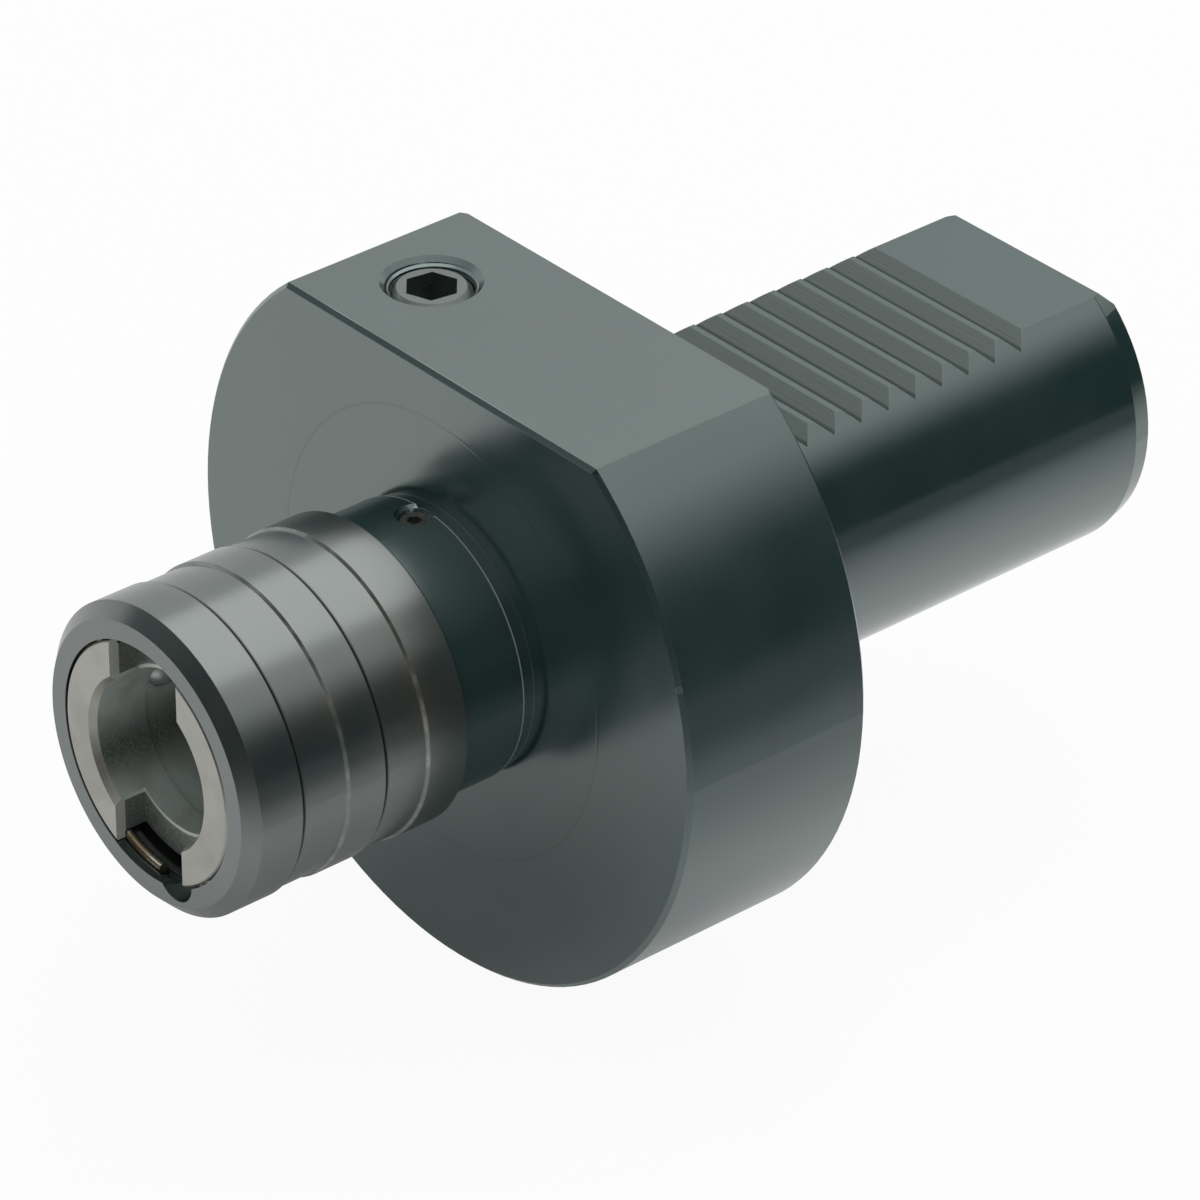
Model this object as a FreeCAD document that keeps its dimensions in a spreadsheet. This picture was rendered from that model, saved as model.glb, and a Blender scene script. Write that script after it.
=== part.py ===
import FreeCAD, Part
import os
import re

import Sketcher
from FreeCAD import Placement, Rotation, Vector

# Quick-change tapping chuck with length compensation on a toothed cylindrical shank.
# Millimetres. Y runs along the tool, nose to shank. Z is up, towards the flats. X is to the right.
# The origin is the centre of the flange's rear contact face.

doc = FreeCAD.newDocument("tapping_chuck")

# The driving dimensions, each written once. Positions along Y are counted from the contact face
# for the holder and from the nose face for the nose pieces.
SIZES = {
    # shank
    "shank_dia": 40,
    "shank_length": 63,
    "shank_cone_length": 2.5,
    "shank_cone_drop": 0.65,
    "shank_flat_height": 15.8,
    "shank_flat_start": 6,
    "shank_flat_bevel": 1.5,
    "tooth_pitch": 4,
    "tooth_depth": 1.6,
    "tooth_first_root": 7.7,
    "tooth_count": 11,
    "seal_groove_start": 1.8,
    "seal_groove_width": 3.2,
    "seal_groove_depth": 3,
    "seal_clearance": 0.05,
    "shank_land_drop": 0.3,
    # flange
    "flange_dia": 83,
    "flange_width": 25,
    "flange_flat_height": 32.5,
    "flange_chamfer": 0.5,
    # neck
    "neck_dia": 33,
    "neck_chamfer": 0.5,
    "undercut_width": 1.7,
    "undercut_depth": 0.4,
    # bores of the holder
    "guide_bore_dia": 25,
    "guide_chamfer": 0.4,
    "web_front": 6,
    "web_width": 4,
    "chamber_dia": 22,
    "chamber_chamfer": 0.5,
    # plugged coolant port in the flat, and its inlet in the contact face
    "coolant_offset": 16,
    "coolant_height": 24,
    "port_depth_in_flange": 12.5,
    "port_dia": 9.5,
    "port_countersink_dia": 11.5,
    "port_bottom": 2,
    "inlet_dia": 5,
    "inlet_recess_dia": 8.8,
    "inlet_recess_depth": 1.4,
    "inlet_seal_wire": 1.3,
    "plug_clearance": 0.05,
    "plug_recess": 0.7,
    "plug_length": 5,
    "plug_chamfer": 0.8,
    "plug_socket_flats": 5.5,
    "plug_socket_turn": 20,
    "plug_socket_depth": 3.5,
    # axial travel
    "length_travel": 7.5,
    "release_travel": 2.5,
    "stroke_spare": 0.2,
    # drive balls between the neck and the spindle, and the screws that close their filling holes
    "drive_ball_dia": 3,
    "drive_ball_pitch": 3.1,
    "drive_ball_circle_dia": 24.9,
    "drive_ball_inset": 3.2,
    "drive_ball_clearance": 0.05,
    "channel_spare": 0.2,
    "filling_hole_dia": 3.3,
    "filling_countersink_dia": 4.6,
    "screw_clearance": 0.03,
    "screw_recess": 0.8,
    "screw_gap": 0.15,
    "screw_socket_flats": 1.5,
    "screw_socket_depth": 1,
    # spindle, from the nose face
    "nose_reach": 40,
    "guide_clearance": 0.06,
    "head_dia": 28,
    "plate_width": 1.2,
    "plate_clearance": 0.2,
    "plate_chamfer": 0.25,
    "mouth_dia": 20.1,
    "mouth_depth": 0.8,
    "adapter_bore_dia": 19,
    "adapter_bore_depth": 27,
    "adapter_relief_dia": 19.4,
    "relief_half_width": 2.75,
    "collar_dia": 32.6,
    "collar_place": 17.8,
    "collar_width": 2,
    "slot_width": 11.6,
    "slot_depth": 4,
    "spindle_rear_chamfer": 0.5,
    # locking balls
    "lock_ball_dia": 5.5,
    "lock_ball_place": 10,
    "lock_ball_turn": 40,
    "lock_ball_circle_dia": 22.5,
    "lock_ball_clearance": 0.04,
    "lock_hole_clearance": 0.05,
    "lock_hole_lip": 0.5,
    "lock_ball_count": 3,
    "cone_slope": 0.44,
    "recess_spare": 0.2,
    # locking sleeve, from the nose face
    "sleeve_dia": 36,
    "sleeve_length": 29.5,
    "sleeve_waist_dia": 35.4,
    "sleeve_front_dia": 32.8,
    "sleeve_front_chamfer": 1.55,
    "front_ring_width": 7,
    "front_waist_width": 6,
    "middle_ring_width": 4.8,
    "rear_waist_width": 5.7,
    "sleeve_edge_break": 0.3,
    "sleeve_hole_dia": 28.3,
    "sleeve_lip_width": 1.1,
    "sleeve_clearance": 0.08,
    "sleeve_rib_width": 0.85,
    "skirt_clearance": 0.15,
    "skirt_start": 11.8,
    "notch_dia": 6,
    "notch_reach": 15.75,
    "notch_angle": 70,
    # snap ring that keeps the sleeve on the spindle
    "snap_ring_wire": 1.2,
    "snap_ring_dia": 28,
    "snap_ring_gap": 30,
    "snap_ring_slack": 0.15,
    "snap_groove_slack": 0.2,
    "seat_gap": 0.02,
    # spring of the sleeve
    "sleeve_spring_wire": 0.8,
    "sleeve_spring_dia": 30.8,
    "sleeve_spring_turns": 3,
    # length compensation: rod, collar, nut, springs and the closed end of the shank
    "rod_dia": 8,
    "rod_grip": 12.2,
    "rod_hole_depth": 14,
    "drill_point_slope": 0.5,
    "rod_thread_dia": 6,
    "rod_clearance": 0.3,
    "rod_fit": 0.03,
    "spring_disc_dia": 21.2,
    "spring_disc_width": 4,
    "nut_flats": 10,
    "nut_width": 5,
    "rod_end_spare": 1.75,
    "spring_wire": 2.4,
    "spring_dia": 17.2,
    "spring_turns": 5,
    "washer_dia": 21.6,
    "washer_width": 1,
    "end_plug_width": 4.9,
    "end_plug_clearance": 0.05,
    "end_plug_socket_flats": 10,
    "end_plug_socket_depth": 3,
    "end_ring_inset": 3.5,
    "end_ring_width": 1.1,
    "end_ring_inner_dia": 18,
    "end_ring_depth": 0.7,
    "end_ring_slack": 0.1,
    "end_ring_gap": 7,
}

sheet = doc.addObject("Spreadsheet::Sheet", "Sizes")
for row, (alias, size) in enumerate(SIZES.items(), start=1):
    sheet.set("A%d" % row, alias)
    sheet.set("B%d" % row, str(size))
    sheet.setAlias("B%d" % row, alias)
doc.recompute()

# Places and radii that several pieces share, as formulas of the sheet's values.
NOSE_FACE = "-(flange_width + nose_reach)"
NECK_FRONT = "(collar_place + collar_width + length_travel + stroke_spare - flange_width - nose_reach)"
SPINDLE_LENGTH = "(flange_width + nose_reach - web_front - length_travel - stroke_spare)"
DRIVE_BALL_PLACE = "(flange_width + drive_ball_inset)"
WEB_REAR = "(web_width - web_front)"
GUIDE_RADIUS = "guide_bore_dia / 2"
CHANNEL_RADIUS = "(drive_ball_dia / 2 + drive_ball_clearance)"
CHANNEL_HALF = "(drive_ball_pitch + (drive_ball_dia + length_travel) / 2 + channel_spare)"
CHANNEL_TOP = "(drive_ball_circle_dia / 2 + drive_ball_dia / 2 + drive_ball_clearance)"
HEAD_RADIUS = "head_dia / 2"
LAND_RADIUS = "(head_dia / 2 + sleeve_clearance)"
SNAP_START = "(plate_width + seat_gap)"
SNAP_END = "(plate_width + seat_gap + snap_ring_wire)"
SKIRT_RADIUS = "(neck_dia / 2 + skirt_clearance)"
CONE_AT_BALL = ("(lock_ball_circle_dia / 2 + (lock_ball_dia / 2 + lock_ball_clearance)"
                " * sqrt(1 + cone_slope ^ 2))")
RELEASE_RADIUS = ("(lock_ball_circle_dia / 2 + lock_ball_dia / 2"
                  " + cone_slope * release_travel + recess_spare)")
WAIST_RAMP = "(sleeve_dia - sleeve_waist_dia) / 2"
END_RING_FRONT = "(shank_length - end_ring_inset)"
END_PLUG_FRONT = "(%s - end_ring_slack - end_plug_width)" % END_RING_FRONT
REAR_WASHER = "(%s - washer_width)" % END_PLUG_FRONT
FRONT_SPRING_START = "(web_width - web_front + washer_width)"
SPRING_LENGTH = "((%s - %s - spring_disc_width) / 2)" % (REAR_WASHER, FRONT_SPRING_START)
DISC_FRONT = "(%s + %s)" % (FRONT_SPRING_START, SPRING_LENGTH)
REAR_SPRING_START = "(%s + spring_disc_width)" % DISC_FRONT

pieces = []


def bound(formula):
    """The formula with each size read from the sheet, as an expression of the document."""
    return re.sub(r"\b[a-z][a-z_]*\b(?!\()", r"Sizes.\g<0>", str(formula))


def tie(item, prop, formula):
    """Bind one property of a document object to a formula of the sheet's values."""
    item.setExpression(prop, bound(formula))


def new_body(label, along="0"):
    """An empty body with its own label, moved along Y by a formula."""
    body = doc.addObject("PartDesign::Body", label)
    body.Label = label
    tie(body, "Placement.Base.y", along)
    pieces.append(body)
    return body


def new_sketch(body, name, plane, offset=("0", "0", "0"), turn="0"):
    """A sketch on one of the body's own planes, moved in the plane's axes and turned about its y."""
    sketch = body.newObject("Sketcher::SketchObject", name)
    support = next(item for item in body.Origin.OriginFeatures if item.Role == plane)
    sketch.AttachmentSupport = [(support, "")]
    sketch.MapMode = "FlatFace"
    sketch.AttachmentOffset = Placement(Vector(), Rotation(Vector(0, -1, 0), 1))
    tie(sketch, "AttachmentOffset.Rotation.Angle", turn)
    for axis, formula in zip("xyz", offset):
        tie(sketch, "AttachmentOffset.Base." + axis, formula)
    return sketch


def place_point(sketch, line, across, along):
    """Fix the start of a line at two formulas, measured from the sketch's origin."""
    for kind, formula, axis in (("DistanceX", across, -2), ("DistanceY", along, -1)):
        size = sketch.evalExpression(bound(formula))
        if abs(size) < 1e-9:
            sketch.addConstraint(Sketcher.Constraint("PointOnObject", line, 1, axis))
        else:
            number = sketch.addConstraint(Sketcher.Constraint(kind, -1, 1, line, 1, size))
            tie(sketch, "Constraints[%d]" % number, formula)


def draw_outline(sketch, corners):
    """A closed outline of straight lines; each corner is a pair of formulas."""
    points = [Vector(sketch.evalExpression(bound(across)), sketch.evalExpression(bound(along)), 0)
              for across, along in corners]
    count = len(points)
    first = sketch.GeometryCount
    sketch.addGeometry([Part.LineSegment(points[i], points[(i + 1) % count]) for i in range(count)])
    sketch.addConstraint([Sketcher.Constraint("Coincident", first + i, 2, first + (i + 1) % count, 1)
                          for i in range(count)])
    for index, (across, along) in enumerate(corners):
        place_point(sketch, first + index, across, along)


def draw_circle(sketch, across, along, diameter):
    """A circle whose centre and diameter follow formulas."""
    centre = Vector(sketch.evalExpression(bound(across)), sketch.evalExpression(bound(along)), 0)
    radius = sketch.evalExpression(bound(diameter)) / 2
    circle = sketch.addGeometry(Part.Circle(centre, Vector(0, 0, 1), radius))
    number = sketch.addConstraint(Sketcher.Constraint("Diameter", circle, 2 * radius))
    tie(sketch, "Constraints[%d]" % number, diameter)
    for kind, formula, axis in (("DistanceX", across, -2), ("DistanceY", along, -1)):
        size = sketch.evalExpression(bound(formula))
        if abs(size) < 1e-9:
            sketch.addConstraint(Sketcher.Constraint("PointOnObject", circle, 3, axis))
        else:
            number = sketch.addConstraint(Sketcher.Constraint(kind, -1, 1, circle, 3, size))
            tie(sketch, "Constraints[%d]" % number, formula)


def draw_hexagon(sketch, flats, turn="0"):
    """A hexagon about the sketch's origin, across flats a formula, its first corner turned from x."""
    corner = "(%s) / sqrt(3)" % flats
    turns = ["(%s + %d)" % (turn, step * 60) for step in range(6)]
    draw_outline(sketch, [("%s * cos(%s)" % (corner, angle), "%s * sin(%s)" % (corner, angle))
                          for angle in turns])


def revolve(body, kind, name, sketch, axis):
    """A full turn of a sketch about one of its own axes, added or cut away."""
    feature = body.newObject(kind, name)
    feature.Profile = sketch
    feature.ReferenceAxis = (sketch, [axis])
    feature.Angle = 360
    body.Tip = feature
    return feature


def turned(body, name, corners):
    """A turned piece about Y from corners of (radius, place along Y)."""
    sketch = new_sketch(body, name + "_profile", "XY_Plane")
    draw_outline(sketch, corners)
    return revolve(body, "PartDesign::Revolution", name, sketch, "V_Axis")


def drilled(body, name, plane, offset, corners, axis="V_Axis", turn="0"):
    """A stepped hole turned about an axis of a sketch on a moved and turned plane."""
    sketch = new_sketch(body, name + "_profile", plane, offset, turn)
    draw_outline(sketch, corners)
    return revolve(body, "PartDesign::Groove", name, sketch, axis)


def cut_across(body, name, sketch):
    """A cut right through the body on both sides of the sketch."""
    feature = body.newObject("PartDesign::Pocket", name)
    feature.Profile = sketch
    feature.Type = "ThroughAll"
    feature.Midplane = True
    body.Tip = feature
    return feature


def cut_down(body, name, sketch, depth, backwards=False):
    """A pocket of a given depth below the sketch."""
    feature = body.newObject("PartDesign::Pocket", name)
    feature.Profile = sketch
    tie(feature, "Length", depth)
    feature.Reversed = backwards
    body.Tip = feature
    return feature


def repeat_round(body, name, features, axis_role, count):
    """Copies of features spaced evenly round one of the body's axes."""
    axis = next(item for item in body.Origin.OriginFeatures if item.Role == axis_role)
    pattern = body.newObject("PartDesign::PolarPattern", name)
    pattern.Originals = features
    pattern.Axis = (axis, [""])
    pattern.Angle = 360
    tie(pattern, "Occurrences", count)
    body.Tip = pattern
    return pattern


# Holder: shank, flange and neck, turned and milled from one bar.
def make_holder_body():
    body = new_body("holder_body")
    shank = "shank_dia / 2"
    flange = "flange_dia / 2"
    neck = "neck_dia / 2"
    land = "shank_dia / 2 - shank_land_drop"
    seal_floor = "shank_dia / 2 - seal_groove_depth"
    seal_end = "seal_groove_start + seal_groove_width"
    end_ring = "chamber_dia / 2 + end_ring_depth + end_ring_slack"
    end_ring_end = END_RING_FRONT + " + end_ring_width + end_ring_slack"
    turned(body, "turned_form", [
        (GUIDE_RADIUS + " + guide_chamfer", NECK_FRONT),
        (GUIDE_RADIUS, NECK_FRONT + " + guide_chamfer"),
        (GUIDE_RADIUS, "-web_front"),
        ("rod_dia / 2 + rod_clearance", "-web_front"),
        ("rod_dia / 2 + rod_clearance", WEB_REAR),
        ("chamber_dia / 2", WEB_REAR),
        ("chamber_dia / 2", END_RING_FRONT + " - end_ring_slack"),
        (end_ring, END_RING_FRONT + " - end_ring_slack"),
        (end_ring, end_ring_end),
        ("chamber_dia / 2", end_ring_end),
        ("chamber_dia / 2", "shank_length - chamber_chamfer"),
        ("chamber_dia / 2 + chamber_chamfer", "shank_length"),
        (shank + " - shank_cone_drop", "shank_length"),
        (shank, "shank_length - shank_cone_length"),
        (shank, "shank_flat_start"),
        (land, "shank_flat_start"),
        (land, seal_end),
        (seal_floor, seal_end),
        (seal_floor, "seal_groove_start"),
        (shank, "seal_groove_start"),
        (shank, "0"),
        (flange + " - flange_chamfer", "0"),
        (flange, "-flange_chamfer"),
        (flange, "flange_chamfer - flange_width"),
        (flange + " - flange_chamfer", "-flange_width"),
        (neck + " - undercut_depth", "-flange_width"),
        (neck + " - undercut_depth", "-(flange_width + undercut_width)"),
        (neck, "-(flange_width + undercut_width)"),
        (neck, NECK_FRONT + " + neck_chamfer"),
        (neck + " - neck_chamfer", NECK_FRONT)])
    cut_shank_flat(body)
    cut_shank_teeth(body)
    cut_flange_flat(body)
    cut_coolant_port(body)
    cut_drive_channels(body)
    return body


# The flat that carries the teeth, with its bevelled edge at the end of the shank.
def cut_shank_flat(body):
    sketch = new_sketch(body, "shank_flat_profile", "YZ_Plane")
    draw_outline(sketch, [
        ("shank_flat_start", "shank_flat_height"),
        ("shank_length - shank_flat_bevel", "shank_flat_height"),
        ("shank_length", "shank_flat_height - shank_flat_bevel"),
        ("shank_length + shank_cone_length", "shank_flat_height - shank_flat_bevel"),
        ("shank_length + shank_cone_length", "shank_dia"),
        ("shank_flat_start", "shank_dia")])
    cut_across(body, "shank_flat", sketch)


# The rack: one V of 90 degrees, repeated along the flat.
def cut_shank_teeth(body):
    sketch = new_sketch(body, "tooth_profile", "YZ_Plane")
    draw_outline(sketch, [
        ("tooth_first_root", "shank_flat_height - tooth_depth"),
        ("tooth_first_root + tooth_depth", "shank_flat_height"),
        ("tooth_first_root - tooth_depth", "shank_flat_height")])
    tooth = cut_across(body, "tooth_gap", sketch)
    rack = body.newObject("PartDesign::LinearPattern", "shank_teeth")
    rack.Originals = [tooth]
    axis = next(item for item in body.Origin.OriginFeatures if item.Role == "Y_Axis")
    rack.Direction = (axis, [""])
    tie(rack, "Length", "tooth_pitch * (tooth_count - 1)")
    tie(rack, "Occurrences", "tooth_count")
    body.Tip = rack


# The flange's flat, with the chamfer of its front edge.
def cut_flange_flat(body):
    sketch = new_sketch(body, "flange_flat_profile", "YZ_Plane")
    draw_outline(sketch, [
        ("-(flange_width + flange_chamfer)", "flange_flat_height - 2 * flange_chamfer"),
        ("flange_chamfer - flange_width", "flange_flat_height"),
        ("flange_chamfer", "flange_flat_height"),
        ("flange_chamfer", "flange_dia"),
        ("-(flange_width + flange_chamfer)", "flange_dia")])
    cut_across(body, "flange_flat", sketch)


# The port drilled down from the flat, and the inlet that meets it from the contact face.
def cut_coolant_port(body):
    port = "port_dia / 2"
    wide = "port_countersink_dia / 2"
    drilled(body, "coolant_port", "XZ_Plane", ("-coolant_offset", "0", "port_depth_in_flange"), [
        ("0", "flange_flat_height + flange_chamfer"),
        (wide, "flange_flat_height + flange_chamfer"),
        (wide, "flange_flat_height"),
        (port, "flange_flat_height + %s - %s" % (port, wide)),
        (port, "coolant_height - port_bottom"),
        ("0", "coolant_height - port_bottom - %s * drill_point_slope" % port)])
    inlet = "inlet_dia / 2"
    recess = "inlet_recess_dia / 2"
    drilled(body, "coolant_inlet", "XY_Plane", ("-coolant_offset", "0", "coolant_height"), [
        ("0", "flange_chamfer"),
        (recess, "flange_chamfer"),
        (recess, "-inlet_recess_depth"),
        (inlet, "-inlet_recess_depth"),
        (inlet, "-port_depth_in_flange"),
        ("0", "-port_depth_in_flange")])


# The ball channels of the neck, above and below the bore, each with its filling hole.
def cut_drive_channels(body):
    channel = drilled(
        body, "drive_channel", "YZ_Plane",
        ("-" + DRIVE_BALL_PLACE, "drive_ball_circle_dia / 2", "0"),
        [("-" + CHANNEL_HALF, "0"), (CHANNEL_HALF, "0"),
         (CHANNEL_HALF, CHANNEL_RADIUS), ("-" + CHANNEL_HALF, CHANNEL_RADIUS)], "H_Axis")
    hole = "filling_hole_dia / 2"
    wide = "filling_countersink_dia / 2"
    filling = drilled(body, "filling_hole", "XZ_Plane", ("0", "0", DRIVE_BALL_PLACE), [
        ("0", "neck_dia / 2 + neck_chamfer"),
        (wide, "neck_dia / 2 + neck_chamfer"),
        (wide, "neck_dia / 2"),
        (hole, "neck_dia / 2 + %s - %s" % (hole, wide)),
        (hole, "drive_ball_circle_dia / 2"),
        ("0", "drive_ball_circle_dia / 2")])
    repeat_round(body, "drive_channels", [channel, filling], "Y_Axis", "2")


# Screw plug in the flange's coolant port, with a hexagon socket.
def make_coolant_plug():
    body = new_body("coolant_plug")
    top = "flange_flat_height - plug_recess"
    radius = "port_dia / 2 - plug_clearance"
    foot = "flange_flat_height - plug_recess - plug_length"
    sketch = new_sketch(body, "plug_profile", "XZ_Plane",
                        ("-coolant_offset", "0", "port_depth_in_flange"))
    draw_outline(sketch, [
        ("0", foot), (radius + " - plug_chamfer", foot), (radius, foot + " + plug_chamfer"),
        (radius, top + " - plug_chamfer"), (radius + " - plug_chamfer", top), ("0", top)])
    revolve(body, "PartDesign::Revolution", "plug_form", sketch, "V_Axis")
    socket = new_sketch(body, "plug_socket_outline", "XY_Plane",
                        ("-coolant_offset", "-port_depth_in_flange", top))
    draw_hexagon(socket, "plug_socket_flats", "plug_socket_turn")
    cut_down(body, "plug_socket", socket, "plug_socket_depth")
    return body


# Headless screw that closes a filling hole; side is 1 above the neck and -1 below it.
def make_neck_screw(label, side):
    body = new_body(label)
    top = "neck_dia / 2 - screw_recess"
    foot = CHANNEL_TOP + " + screw_gap"
    radius = "filling_hole_dia / 2 - screw_clearance"
    sketch = new_sketch(body, label + "_profile", "XZ_Plane", ("0", "0", DRIVE_BALL_PLACE))
    draw_outline(sketch, [
        ("0", "%d * (%s)" % (side, foot)), (radius, "%d * (%s)" % (side, foot)),
        (radius, "%d * (%s)" % (side, top)), ("0", "%d * (%s)" % (side, top))])
    revolve(body, "PartDesign::Revolution", label + "_form", sketch, "V_Axis")
    socket = new_sketch(body, label + "_socket_outline", "XY_Plane",
                        ("0", "-" + DRIVE_BALL_PLACE, "%d * (%s)" % (side, top)))
    draw_hexagon(socket, "screw_socket_flats")
    cut_down(body, label + "_socket", socket, "screw_socket_depth", backwards=side < 0)
    return body


def make_ring(label, ring_radius, wire_radius, centre, turn=Rotation()):
    """A closed ring of round wire or rubber; centre is three formulas."""
    ring = doc.addObject("Part::Torus", label)
    ring.Label = label
    tie(ring, "Radius1", ring_radius)
    tie(ring, "Radius2", wire_radius)
    ring.Placement = Placement(Vector(), Rotation(Vector(1, 0, 0), -90) * turn)
    for axis, formula in zip("xyz", centre):
        tie(ring, "Placement.Base." + axis, formula)
    pieces.append(ring)
    return ring


# Sealing ring in the groove of the shank, beside the contact face.
def make_shank_seal():
    wire = "(seal_groove_depth / 2 - seal_clearance)"
    return make_ring("shank_seal", "shank_dia / 2 - seal_groove_depth / 2", wire,
                     ("0", "seal_groove_start + seal_groove_width / 2", "0"))


# Sealing ring in the recess round the coolant inlet.
def make_coolant_seal():
    wire = "inlet_seal_wire / 2"
    return make_ring("coolant_seal", "inlet_recess_dia / 2 - seal_clearance - " + wire, wire,
                     ("-coolant_offset", "-(inlet_recess_depth - seal_clearance - %s)" % wire,
                      "coolant_height"))


# A row of drive balls that roll in the channels; side is 1 above the spindle and -1 below it.
def make_drive_balls(label, side):
    balls = []
    for step in (-1, 0, 1):
        ball = doc.addObject("Part::Sphere", "%s_ball_%d" % (label, step + 2))
        tie(ball, "Radius", "drive_ball_dia / 2")
        tie(ball, "Placement.Base.y", "%d * drive_ball_pitch - %s" % (step, DRIVE_BALL_PLACE))
        tie(ball, "Placement.Base.z", "%d * drive_ball_circle_dia / 2" % side)
        balls.append(ball)
    row = doc.addObject("Part::Compound", label)
    row.Label = label
    row.Links = balls
    pieces.append(row)
    return row


# Spindle: driving nose with two slots, ball cage, spring collar and guide shaft, in one piece.
def make_spindle():
    body = new_body("spindle", NOSE_FACE)
    plate = "sleeve_hole_dia / 2 - plate_clearance"
    snap_floor = "snap_ring_dia / 2 - snap_ring_wire / 2 - snap_groove_slack"
    snap_end = SNAP_END + " + release_travel + snap_groove_slack"
    guide = GUIDE_RADIUS + " - guide_clearance"
    bore = "adapter_bore_dia / 2"
    relief = "adapter_relief_dia / 2"
    rod = "rod_dia / 2 + rod_fit"
    turned(body, "turned_form", [
        ("mouth_dia / 2", "0"),
        (plate + " - plate_chamfer", "0"),
        (plate, "plate_chamfer"),
        (plate, "plate_width"),
        (snap_floor, "plate_width"),
        (snap_floor, snap_end),
        (HEAD_RADIUS, snap_end),
        (HEAD_RADIUS, "collar_place"),
        ("collar_dia / 2", "collar_place"),
        ("collar_dia / 2", "collar_place + collar_width"),
        (guide, "collar_place + collar_width"),
        (guide, SPINDLE_LENGTH + " - spindle_rear_chamfer"),
        (guide + " - spindle_rear_chamfer", SPINDLE_LENGTH),
        (rod, SPINDLE_LENGTH),
        (rod, SPINDLE_LENGTH + " - rod_hole_depth"),
        ("0", SPINDLE_LENGTH + " - rod_hole_depth - rod_dia / 2 * drill_point_slope"),
        ("0", "adapter_bore_depth"),
        (bore, "adapter_bore_depth"),
        (bore, "lock_ball_place + relief_half_width"),
        (relief, "lock_ball_place + relief_half_width"),
        (relief, "lock_ball_place - relief_half_width"),
        (bore, "lock_ball_place - relief_half_width"),
        (bore, "mouth_depth")])
    cut_lock_holes(body)
    cut_spindle_channels(body)
    cut_drive_slots(body)
    return body


# Three radial holes that taper inwards, so that the balls reach into the bore but stay caged.
def cut_lock_holes(body):
    wide = "lock_ball_dia / 2 + lock_hole_clearance"
    narrow = "lock_ball_dia / 2 - lock_hole_lip"
    lip = ("lock_ball_circle_dia / 2 - sqrt(lock_hole_lip * (lock_ball_dia - lock_hole_lip))"
           " - lock_hole_clearance")
    hole = drilled(body, "lock_hole", "XY_Plane", ("0", "lock_ball_place", "0"), [
        ("adapter_bore_dia / 2 - lock_hole_lip", "0"),
        ("adapter_bore_dia / 2 - lock_hole_lip", narrow),
        (lip, narrow),
        (lip + " + lock_hole_lip + lock_hole_clearance", wide),
        ("sleeve_dia / 2", wide),
        ("sleeve_dia / 2", "0")], "H_Axis", "lock_ball_turn")
    repeat_round(body, "lock_holes", [hole], "Y_Axis", "lock_ball_count")


# Ball channels on the guide shaft, facing those of the neck.
def cut_spindle_channels(body):
    place = "nose_reach - drive_ball_inset"
    channel = drilled(
        body, "drive_channel", "YZ_Plane", (place, "drive_ball_circle_dia / 2", "0"),
        [("-" + CHANNEL_HALF, "0"), (CHANNEL_HALF, "0"),
         (CHANNEL_HALF, CHANNEL_RADIUS), ("-" + CHANNEL_HALF, CHANNEL_RADIUS)], "H_Axis")
    repeat_round(body, "drive_channels", [channel], "Y_Axis", "2")


# The two driving slots of the nose, milled across in one pass.
def cut_drive_slots(body):
    sketch = new_sketch(body, "slot_outline", "XZ_Plane")
    draw_outline(sketch, [
        ("slot_width / 2", "head_dia"), ("-slot_width / 2", "head_dia"),
        ("-slot_width / 2", "-head_dia"), ("slot_width / 2", "-head_dia")])
    cut_down(body, "drive_slots", sketch, "slot_depth")


# One of the three balls that lock the adapter.
def make_lock_ball(number):
    ball = doc.addObject("Part::Sphere", "lock_ball_%d" % number)
    ball.Label = "lock_ball_%d" % number
    turn = "(lock_ball_turn + %d * 360 / lock_ball_count)" % (number - 1)
    tie(ball, "Radius", "lock_ball_dia / 2")
    tie(ball, "Placement.Base.x", "lock_ball_circle_dia / 2 * cos(%s)" % turn)
    tie(ball, "Placement.Base.y", NOSE_FACE + " + lock_ball_place")
    tie(ball, "Placement.Base.z", "lock_ball_circle_dia / 2 * sin(%s)" % turn)
    pieces.append(ball)
    return ball


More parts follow.
